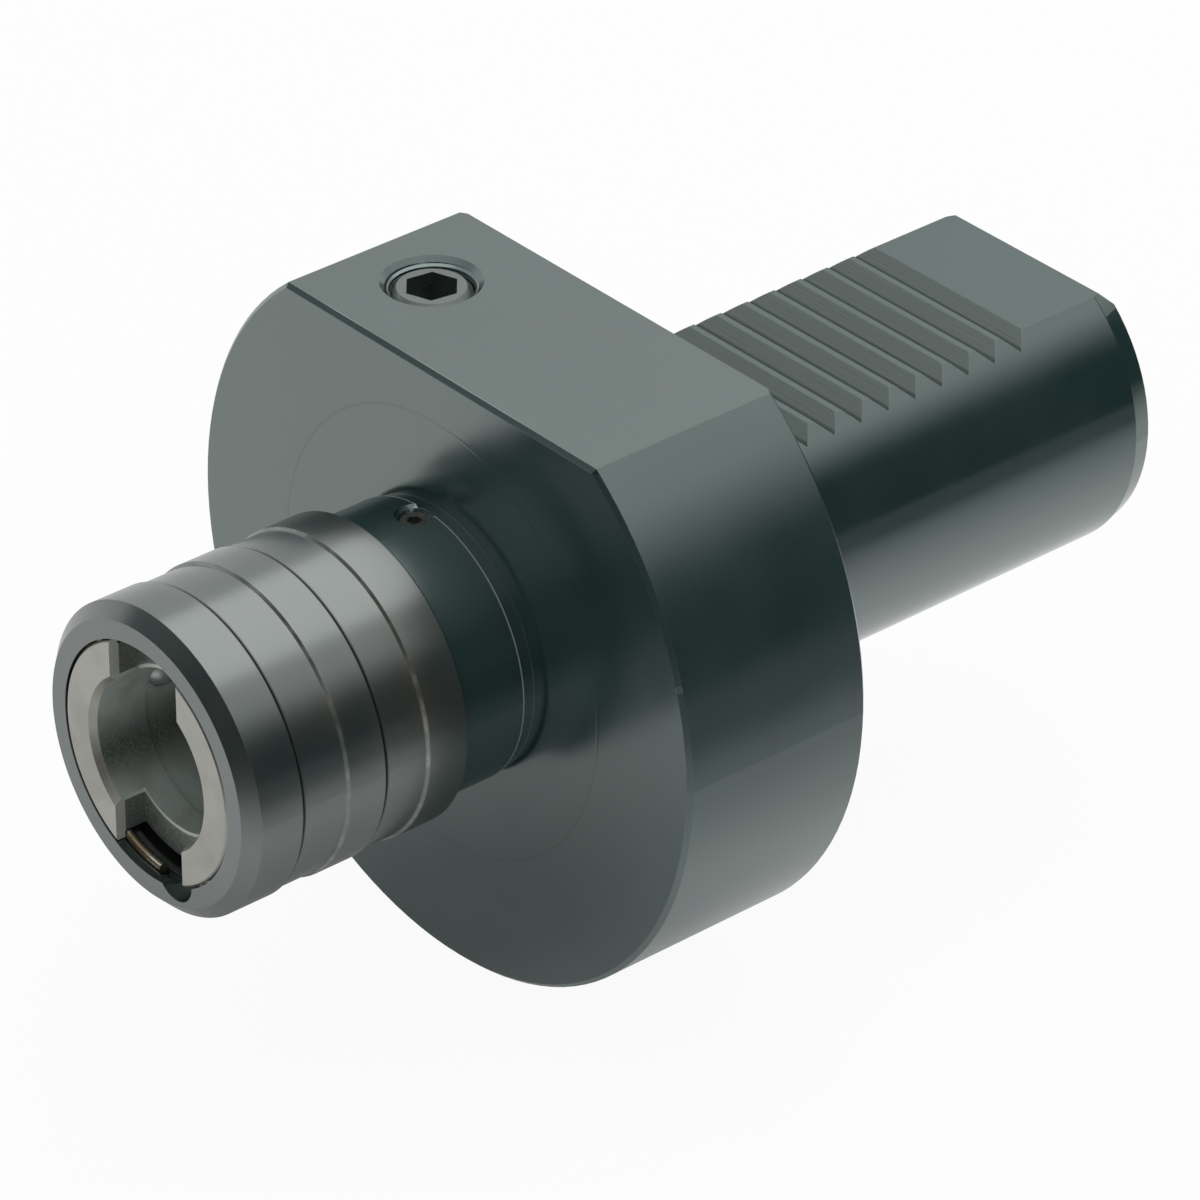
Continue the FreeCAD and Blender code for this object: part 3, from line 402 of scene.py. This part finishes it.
# Screw plugs of the holder
# Headless screws with hexagon sockets: one in the flange's coolant port, two in the neck over the
# ball channels, and the shank's end plug. They are blackened too, like the nut on the spindle's rod;
# the neck's screws are rubbed to a bronze shine.
SCREW_INDEX = 2.4
SCREW_OXIDE = (0.020, 0.026, 0.025, 1)
SCREW_WORN = (0.24, 0.19, 0.13, 1)
for screw_name, wear_low, screw_nodes in (
        ("plug black oxide", 0.62, ("coolant_plug", "disc_nut", "end_plug")),
        ("neck screw worn oxide", 0.42, ("neck_screw_top", "neck_screw_bottom"))):
    screw_oxide, tree, shader = new_material(screw_name, index=SCREW_INDEX, tint=OXIDE_TINT)
    rounded = round_edges(tree, 0.00006)
    grain = patchy(tree, 2500, 0.3, 0.7)
    rubbed = patchy(tree, 700, wear_low, wear_low + 0.2)
    worn = maths(tree, "MAXIMUM", rubbed, maths(tree, "MULTIPLY", edge_share(tree, rounded), 0.5))
    tree.links.new(blend_colours(tree, worn, SCREW_OXIDE, SCREW_WORN), shader.inputs["Base Color"])
    tree.links.new(worn, shader.inputs["Metallic"])
    tree.links.new(maths(tree, "MULTIPLY_ADD", grain, 0.12, 0.24), shader.inputs["Roughness"])
    raise_surface(tree, shader, grain, 0.000004, rounded)
    dress(screw_oxide, *screw_nodes)

# Seals
# Two rings of black nitrile rubber, moulded: one in the shank's groove, one round the coolant inlet.
RUBBER = (0.018, 0.018, 0.019, 1)
rubber, tree, shader = new_material("seal rubber")
shader.inputs["Base Color"].default_value = RUBBER
grain = patchy(tree, 6000, 0.3, 0.7)
tree.links.new(maths(tree, "MULTIPLY_ADD", grain, 0.12, 0.5), shader.inputs["Roughness"])
raise_surface(tree, shader, grain, 0.000006, add_node(tree, "NewGeometry").outputs["Normal"])
dress(rubber, "shank_seal", "coolant_seal")

# Balls
# Bearing balls with a film of oil: three that lock the adapter and two rows that take the torque.
BALL_STEEL = (0.36, 0.39, 0.375, 1)
BALL_OILED = (0.28, 0.305, 0.29, 1)
ball_steel, tree, shader = new_material("lapped ball steel", metallic=0.6)
smear = patchy(tree, 500, 0.35, 0.7)
tree.links.new(blend_colours(tree, smear, BALL_STEEL, BALL_OILED), shader.inputs["Base Color"])
tree.links.new(maths(tree, "MULTIPLY_ADD", smear, 0.12, 0.28), shader.inputs["Roughness"])
dress(ball_steel, "lock_ball_1", "lock_ball_2", "lock_ball_3", "drive_balls_top", "drive_balls_bottom")

# Spindle
# Hardened steel, ground in the bore and matt on the nose face, left bright; a band of painted shade
# darkens one side of the bore. Its rod, the disc on the rod and the springs' washers are of the same steel.
SPINDLE_FACE = (0.37, 0.37, 0.34, 1)
SPINDLE_BORE = (0.66, 0.73, 0.70, 1)
SPINDLE_PAINTED_SHADE = (0.07, 0.10, 0.09, 1)
SPINDLE_SLOT = (0.11, 0.135, 0.125, 1)
SPINDLE_SPECK = (0.48, 0.47, 0.43, 1)
SPINDLE_STAIN = (0.20, 0.19, 0.165, 1)
SLOT_WALL = (0.66, 0.66, 0.62, 1)
SLOT_HALF_WIDTH = 0.0058
BORE_REACH = 0.0099
PLATE_WIDTH = 0.0013
MOUTH_WIDTH = 0.0008
BAND_TURN = math.radians(22)
BAND_HALF = math.radians(36)
spindle_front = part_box("spindle")[0][1]
spindle_steel, tree, shader = new_material("spindle bright steel")
x, y, z, radius = places(tree, "x", "y", "z", "radius")
rounded = round_edges(tree, 0.00009)
in_bore = maths(tree, "LESS_THAN", radius, BORE_REACH)
start = maths(tree, "MULTIPLY_ADD", in_bore, MOUTH_WIDTH - PLATE_WIDTH, spindle_front + PLATE_WIDTH)
inside = maths(tree, "GREATER_THAN", y, start)
on_slot_wall = maths(tree, "COMPARE", maths(tree, "ABSOLUTE", x), SLOT_HALF_WIDTH, HAIR)
# A band of painted shade along one side of the bore, set by the angle round its axis.
round_bore = maths(tree, "ARCTAN2", maths(tree, "MULTIPLY", z, -1.0), maths(tree, "MULTIPLY", x, -1.0))
bore_shade = line_at(tree, round_bore, BAND_TURN, BAND_HALF)
turned = place_group(tree, lathe_marks, {"Rings per metre": 7000, "Sweep": 2.5})
grain = patchy(tree, 3600, 0.3, 0.7)
cloudy = patchy(tree, 160, 0.4, 0.7)
# The slot's side walls are light along the nose's first strip; behind that strip the slot is dark.
plate_colour = blend_colours(tree, on_slot_wall, SPINDLE_FACE, SLOT_WALL)
bore_colour = blend_colours(tree, bore_shade, SPINDLE_BORE, SPINDLE_PAINTED_SHADE)
bore_colour = blend_colours(tree, in_bore, SPINDLE_SLOT, bore_colour)
colour = blend_colours(tree, inside, plate_colour, bore_colour)
for share, new_colour in (
        (maths(tree, "MULTIPLY", grain, 0.35), SPINDLE_SPECK),
        (maths(tree, "MULTIPLY", cloudy, 0.3), SPINDLE_STAIN),
        (maths(tree, "MULTIPLY", edge_share(tree, rounded), 0.5), SPINDLE_SPECK)):
    colour = blend_colours(tree, share, colour, new_colour)
tree.links.new(colour, shader.inputs["Base Color"])
less_metal = maths(tree, "MAXIMUM", inside, on_slot_wall)
tree.links.new(maths(tree, "MULTIPLY_ADD", less_metal, -0.5, 1.0), shader.inputs["Metallic"])
rough = maths(tree, "MULTIPLY_ADD", inside, -0.02, 0.36)
tree.links.new(maths(tree, "MULTIPLY_ADD", grain, 0.08, rough), shader.inputs["Roughness"])
raise_surface(tree, shader, maths(tree, "MULTIPLY_ADD", grain, 0.8, turned), 0.000004, rounded)
dress(spindle_steel, "spindle", "spindle_rod", "spring_disc", "front_spring_washer", "rear_spring_washer")

# Locking sleeve
# Turned from free-cutting steel and blackened; handling has polished it, and the blacking has a
# brown cast beside the steps of its rings. A thin line of painted shade lies at the foot of each step.
SLEEVE_INDEX = 2.4
SLEEVE_TINT = (0.93, 1.0, 0.975, 1)
SLEEVE_OXIDE = (0.008, 0.022, 0.021, 1)
SLEEVE_BROWN = (0.050, 0.043, 0.031, 1)
SLEEVE_RUBBED = (0.42, 0.42, 0.40, 1)
SLEEVE_FOOT_SHADE = (0.006, 0.009, 0.008, 1)
SLEEVE_SKIN = 0.0170
sleeve_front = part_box("locking_sleeve")[0][1]
ring_ends = (sleeve_front + 0.0070, sleeve_front + 0.0181)
ramps = (sleeve_front + 0.01315, sleeve_front + 0.02395)
sleeve_oxide, tree, shader = new_material("sleeve black oxide", index=SLEEVE_INDEX, tint=SLEEVE_TINT)
y, radius = places(tree, "y", "radius")
rounded = round_edges(tree, 0.00008)
turned = place_group(tree, lathe_marks, {"Rings per metre": 4500, "Sweep": 1.2})
cloudy = patchy(tree, 65, 0.40, 0.66)
rubbed = patchy(tree, 260, 0.40, 0.70)
outside = maths(tree, "GREATER_THAN", radius, SLEEVE_SKIN)


def lines_at(steps, shift, half_width):
    """Soft lines round the sleeve beside some of its steps."""
    return chain(tree, "MAXIMUM", *[line_at(tree, y, step + shift, half_width) for step in steps])


beside = lines_at(ring_ends + ramps, 0.0, 0.0018)
# Painted shade: a dark line on the waist at the foot of each ring's step.
foot = maths(tree, "MULTIPLY", lines_at(ring_ends, 0.00025, 0.00045), outside)
ramp = maths(tree, "MULTIPLY", lines_at(ramps, 0.0, 0.00035), outside)
brown = maths(tree, "MULTIPLY", maths(tree, "MULTIPLY_ADD", beside, 0.35, 0.4), cloudy)
bare = maths(tree, "MULTIPLY", edge_share(tree, rounded), maths(tree, "MULTIPLY_ADD", rubbed, 0.7, 0.1))
glint = maths(tree, "MULTIPLY", ramp, maths(tree, "MULTIPLY_ADD", rubbed, 0.34, 0.06))
colour = blend_colours(tree, brown, SLEEVE_OXIDE, SLEEVE_BROWN)
colour = blend_colours(tree, maths(tree, "MAXIMUM", bare, glint), colour, SLEEVE_RUBBED)
tree.links.new(blend_colours(tree, foot, colour, SLEEVE_FOOT_SHADE), shader.inputs["Base Color"])
tree.links.new(maths(tree, "MAXIMUM", bare, foot), shader.inputs["Metallic"])
rough = maths(tree, "MULTIPLY_ADD", turned, 0.06, 0.22)
tree.links.new(maths(tree, "MULTIPLY_ADD", foot, 0.4, rough), shader.inputs["Roughness"])
raise_surface(tree, shader, turned, 0.0000008, rounded)
dress(sleeve_oxide, "locking_sleeve")

# Snap ring and end ring
# Open rings of spring wire and spring strip, oil tempered, which leaves them straw to brown.
STRAW = (0.50, 0.46, 0.38, 1)
TEMPER_BROWN = (0.27, 0.21, 0.14, 1)
ring_steel, tree, shader = new_material("tempered ring steel", metallic=1.0)
cloudy = patchy(tree, 350, 0.35, 0.65)
tree.links.new(blend_colours(tree, cloudy, STRAW, TEMPER_BROWN), shader.inputs["Base Color"])
tree.links.new(maths(tree, "MULTIPLY_ADD", cloudy, 0.15, 0.24), shader.inputs["Roughness"])
raise_surface(tree, shader, cloudy, 0.000004, round_edges(tree, 0.00008))
dress(ring_steel, "snap_ring", "end_retaining_ring")

# Springs
# Cold-wound round wire: a light one behind the sleeve's cone and two strong ones for the length
# compensation. The wire is bright drawn, with a trace of oil.
SPRING_WIRE = (0.28, 0.285, 0.28, 1)
SPRING_OIL = (0.17, 0.165, 0.15, 1)
RINGS_PER_TURN = 64
WIRE_SIDES = 14
spring_steel, tree, shader = new_material("drawn spring wire", metallic=1.0)
drawn = patchy(tree, 1600, 0.3, 0.7)
tree.links.new(blend_colours(tree, drawn, SPRING_WIRE, SPRING_OIL), shader.inputs["Base Color"])
tree.links.new(maths(tree, "MULTIPLY_ADD", drawn, 0.15, 0.25), shader.inputs["Roughness"])
raise_surface(tree, shader, drawn, 0.000003, add_node(tree, "NewGeometry").outputs["Normal"])


def wind_coil(name, start, length, wire, diameter, turns):
    """A round wire along a helix about Y: every ring of points is a circle across the wire's way,
    placed at the coil's radius and moved on by one pitch a turn; both ends are closed flat."""
    turned_by = np.linspace(0.0, 2 * math.pi * turns, RINGS_PER_TURN * turns + 1)
    still = np.zeros_like(turned_by)
    outward = np.stack([np.cos(turned_by), still, -np.sin(turned_by)], axis=1)
    climb = (length - wire) / (2 * math.pi * turns)
    way = np.stack([-np.sin(turned_by), still, -np.cos(turned_by)], axis=1) * diameter / 2
    way[:, 1] = climb
    way /= np.linalg.norm(way, axis=1)[:, None]
    sideways = np.cross(way, outward)
    centre = outward * diameter / 2
    centre[:, 1] = start + wire / 2 + climb * turned_by
    round_wire = np.linspace(0.0, 2 * math.pi, WIRE_SIDES, endpoint=False)[None, :, None]
    points = centre[:, None] + wire / 2 * (
        np.cos(round_wire) * outward[:, None] + np.sin(round_wire) * sideways[:, None])
    ring = np.arange(len(turned_by) - 1)[:, None] * WIRE_SIDES
    side = np.arange(WIRE_SIDES)[None, :]
    after = (side + 1) % WIRE_SIDES
    quads = np.stack([ring + side, ring + after, ring + after + WIRE_SIDES, ring + side + WIRE_SIDES], axis=2)
    last = len(turned_by) * WIRE_SIDES - WIRE_SIDES
    ends = [list(range(WIRE_SIDES))[::-1], list(range(last, last + WIRE_SIDES))]
    mesh = bpy.data.meshes.new(name)
    mesh.from_pydata(points.reshape(-1, 3).tolist(), [], quads.reshape(-1, 4).tolist() + ends)
    smooth = np.ones(len(mesh.polygons), bool)
    smooth[-len(ends):] = False
    mesh.polygons.foreach_set("use_smooth", smooth)
    mesh.materials.append(spring_steel)
    coil = bpy.data.objects.new(name, mesh)
    bpy.context.scene.collection.objects.link(coil)
    return coil


# Each coil's place, wire, size and turns, where it stands still, the body it stands on and the
# body that presses it.
for node, start, stop, wire, diameter, turns, fixed_at, seat, presser in (
        ("sleeve_spring", -0.0532, -0.0472, 0.0008, 0.0308, 3, -0.0472, "spindle_group", "sleeve_group"),
        ("front_spring", -0.0010, 0.02425, 0.0024, 0.0172, 5, -0.0010, "holder", "spindle_group"),
        ("rear_spring", 0.02825, 0.0535, 0.0024, 0.0172, 5, 0.0535, "holder", "spindle_group")):
    coil = wind_coil(node + "_coil", start, stop - start, wire, diameter, turns)
    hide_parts(node)
    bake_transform(coil)

# Floor
# A plain white sweep. The camera sees it nearly white with a soft shadow. Its glow in reflections
# is painted shade: it fades under the nose, as the nose's shadow, and towards the card on the right.
WHITE = (1, 1, 1, 1)
FLOOR_WHITE = (0.93, 0.93, 0.93, 1)
FLOOR_HALF = 3.0
FLOOR_GAP = 0.0002
UNDER_NOSE = (-0.005, -0.035, 0.0)
SEEN_SHARE = 0.94
MIRRORED_SHARE = 0.85
floor_height = cad_box[0][2] - FLOOR_GAP


def show(tree, surface):
    """Let a material show this shader in place of its Principled one."""
    tree.links.new(surface, tree.nodes["Material Output"].inputs["Surface"])


def stand_sheet(name, corners, material):
    """A flat sheet of four corners."""
    mesh = bpy.data.meshes.new(name)
    mesh.from_pydata(corners, [], [(0, 1, 2, 3)])
    mesh.materials.append(material)
    sheet = bpy.data.objects.new(name, mesh)
    bpy.context.scene.collection.objects.link(sheet)
    return sheet


floor_material, tree, shader = new_material("floor white", 0.9)
shader.inputs["Base Color"].default_value = FLOOR_WHITE
shader.inputs["Specular IOR Level"].default_value = 0.0
path = add_node(tree, "LightPath").outputs
mirrored = maths(tree, "MAXIMUM", path["Is Glossy Ray"], path["Is Transmission Ray"])
glowing = maths(tree, "MAXIMUM", maths(tree, "MULTIPLY", path["Is Camera Ray"], SEEN_SHARE),
                maths(tree, "MULTIPLY", mirrored, MIRRORED_SHARE))
x, y = places(tree, "x", "y")
level_point = add_node(tree, "CombineXYZ", {"X": x, "Y": y}).outputs[0]
card_fade = rescale(tree, x, low=0.035, high=0.135, to_low=1.0, to_high=0.08)
from_nose = distance(tree, level_point, UNDER_NOSE)
nose_shadow_fade = rescale(tree, from_nose, low=0.010, high=0.075, to_low=0.32, to_high=1.0)
glow = maths(tree, "MINIMUM", card_fade, nose_shadow_fade)
strength = maths(tree, "MULTIPLY_ADD", path["Is Camera Ray"], maths(tree, "SUBTRACT", 1.0, glow), glow)
white = add_node(tree, "Emission", {"Color": WHITE, "Strength": strength}).outputs[0]
show(tree, add_node(tree, "MixShader", {"Fac": glowing, 1: shader.outputs[0], 2: white}).outputs[0])
floor = stand_sheet("floor", [
    (-FLOOR_HALF, -FLOOR_HALF, floor_height), (FLOOR_HALF, -FLOOR_HALF, floor_height),
    (FLOOR_HALF, FLOOR_HALF, floor_height), (-FLOOR_HALF, FLOOR_HALF, floor_height)], floor_material)

# Light
# A white tent with a large soft box overhead, and two dark cards that only reflections see: one at
# the right behind the shank, for the dark band along the turned surfaces, and one by the camera.
TENT_SEEN = 0.92
TENT_FILL = 0.55
BOX_PLACE = Vector((-0.10, 0.35, 1.0))
BOX_SIZE = 1.1
BOX_RADIANCE = 1.1
world = bpy.data.worlds.new("tent")
bpy.context.scene.world = world
world.use_nodes = True
tree = world.node_tree
tree.nodes.clear()
path = add_node(tree, "LightPath").outputs
seen = chain(tree, "MAXIMUM", path["Is Camera Ray"], path["Is Glossy Ray"], path["Is Transmission Ray"])
fill = add_node(tree, "Background", {"Color": WHITE, "Strength": TENT_FILL}).outputs[0]
tent = add_node(tree, "Background", {"Color": WHITE, "Strength": TENT_SEEN}).outputs[0]
mixed = add_node(tree, "MixShader", {"Fac": seen, 1: fill, 2: tent}).outputs[0]
add_node(tree, "OutputWorld", {"Surface": mixed})

# The soft box is a square lamp whose power is its radiance times pi times its area.
lamp = bpy.data.lights.new("overhead", "AREA")
lamp.size = BOX_SIZE
lamp.energy = BOX_RADIANCE * math.pi * BOX_SIZE * BOX_SIZE
soft_box = bpy.data.objects.new("overhead", lamp)
bpy.context.scene.collection.objects.link(soft_box)
soft_box.matrix_world = Matrix.LocRotScale(BOX_PLACE, (-BOX_PLACE).to_track_quat("-Z", "Y"), None)


def dark_card(name, way, distance_out, half_width, foot, top, dark_glow):
    """An upright card across a direction, seen only in reflections, that fades to white upwards."""
    material, tree = new_material(name)[:2]
    (height,) = places(tree, "z")
    glow = rescale(tree, height, foot, top, dark_glow, 1.0, "SMOOTHSTEP")
    show(tree, add_node(tree, "Emission", {"Color": WHITE, "Strength": glow}).outputs[0])
    way = Vector((way[0], way[1], 0)).normalized()
    side = Vector((-way.y, way.x, 0))
    ends = [way * distance_out - side * half_width, way * distance_out + side * half_width]
    card = stand_sheet(name, [(end.x, end.y, floor_height) for end in ends]
                       + [(end.x, end.y, top) for end in reversed(ends)], material)
    card.visible_camera = False
    card.visible_diffuse = False
    card.visible_shadow = False


dark_card("black card", (0.80, 0.60), distance_out=0.38, half_width=0.42, foot=0.13, top=0.36, dark_glow=0.05)
dark_card("camera side", (0.0, -1.0), distance_out=0.60, half_width=1.10, foot=0.45, top=0.85, dark_glow=0.06)

# Camera
# A long lens from above on the right, at the photograph's angle. The focal length is in pixels of
# the 1200 pixel wide picture.
AZIMUTH = math.radians(49.689)
ELEVATION = math.radians(32.043)
CAMERA_PLACE = Vector((0.522579, -0.445461, 0.423966))
FOCAL_PIXELS = 7308.84
PICTURE_WIDTH = 1200
SENSOR_WIDTH = 36
right = Vector((math.cos(AZIMUTH), math.sin(AZIMUTH), 0))
back = Vector((math.sin(AZIMUTH) * math.cos(ELEVATION), -math.cos(AZIMUTH) * math.cos(ELEVATION),
               math.sin(ELEVATION)))
up = back.cross(right)
camera_data = bpy.data.cameras.new("camera")
camera_data.sensor_width = SENSOR_WIDTH
camera_data.lens = FOCAL_PIXELS / PICTURE_WIDTH * SENSOR_WIDTH
camera = bpy.data.objects.new("camera", camera_data)
bpy.context.scene.collection.objects.link(camera)
turn = Matrix((right, up, back)).transposed().to_4x4()
camera.matrix_world = Matrix.Translation(CAMERA_PLACE) @ turn
bpy.context.scene.camera = camera

bpy.context.scene.view_settings.view_transform = "Standard"
